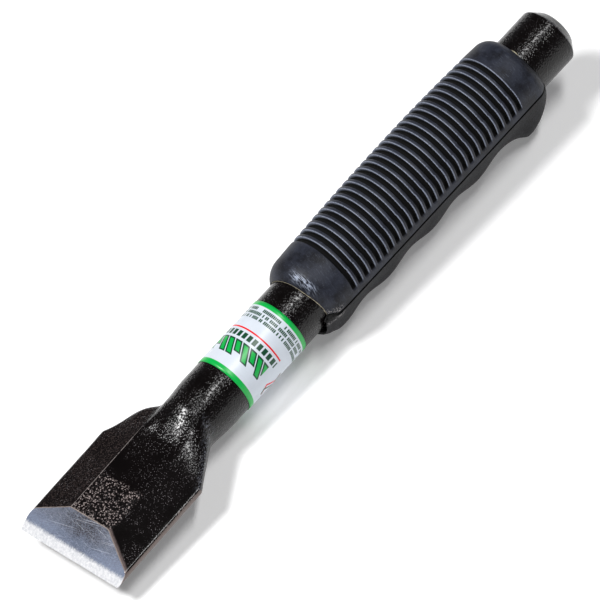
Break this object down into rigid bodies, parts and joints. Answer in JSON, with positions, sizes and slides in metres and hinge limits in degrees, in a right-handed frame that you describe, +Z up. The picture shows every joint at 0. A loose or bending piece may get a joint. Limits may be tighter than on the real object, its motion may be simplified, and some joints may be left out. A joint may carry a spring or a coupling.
{
  "type": "cold chisel",
  "caption": "Wide single-bevel cold chisel on a round bar, with a ribbed moulded finger grip, a printed wrap label and a chamfered struck end.",
  "frame": {"origin": "centre of the struck face, on the bar's axis", "axes": "+X along the bar and out of the struck face, so the cutting edge is at -X; +Z up towards the ribbed side of the grip and the blade's ground side; +Y across the blade"},
  "size_m": [0.2477, 0.045, 0.0391],
  "materials": {
    "painted_forging": "black paint over forged steel, bare and ground at the cutting edge",
    "grip_rubber": "matt moulded rubber, dark blue-grey",
    "adhesive": "dried pale amber adhesive",
    "label_film": "white printed vinyl with green bands"
  },
  "bodies": {
    "root": {"chisel_forging": "painted_forging", "hand_grip": "grip_rubber", "grip_adhesive": "adhesive", "wrap_label": "label_film"}
  },
  "joints": []
}
